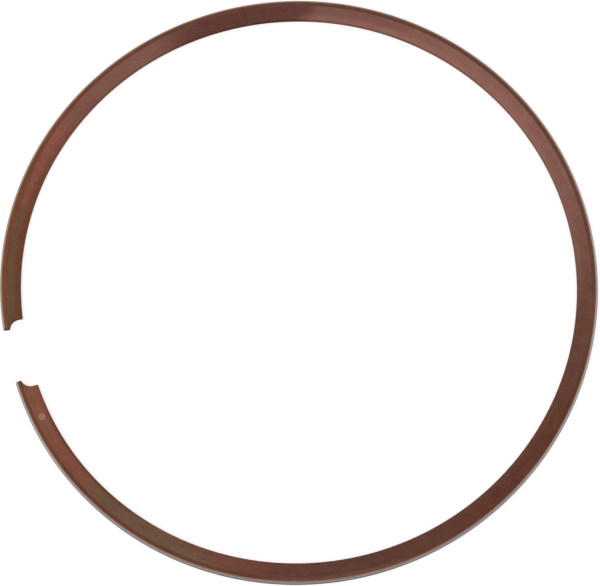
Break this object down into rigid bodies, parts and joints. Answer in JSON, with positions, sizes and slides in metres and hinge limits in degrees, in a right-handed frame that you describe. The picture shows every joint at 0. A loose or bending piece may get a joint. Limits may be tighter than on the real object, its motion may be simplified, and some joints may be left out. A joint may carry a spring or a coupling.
{
  "type": "piston ring",
  "caption": "Split steel ring with a chrome running face that seals a piston in its cylinder. Its ends are cut back round a locating pin.",
  "frame": {"origin": "middle of the ring's outline, on the plane of the lower flank that it lies on", "axes": "+Z through the ring's height, up to the sloping flank; the gap between the ends is towards -X, and the ring is the same on both sides of Y = 0"},
  "size_m": [0.0676, 0.0688, 0.001],
  "materials": {
    "ring_steel": "steel with a brown, iridescent oxide tint on the flanks and a bare hard-chrome running face with chamfered edges"
  },
  "bodies": {
    "root": {"piston_ring": "ring_steel"}
  },
  "joints": []
}
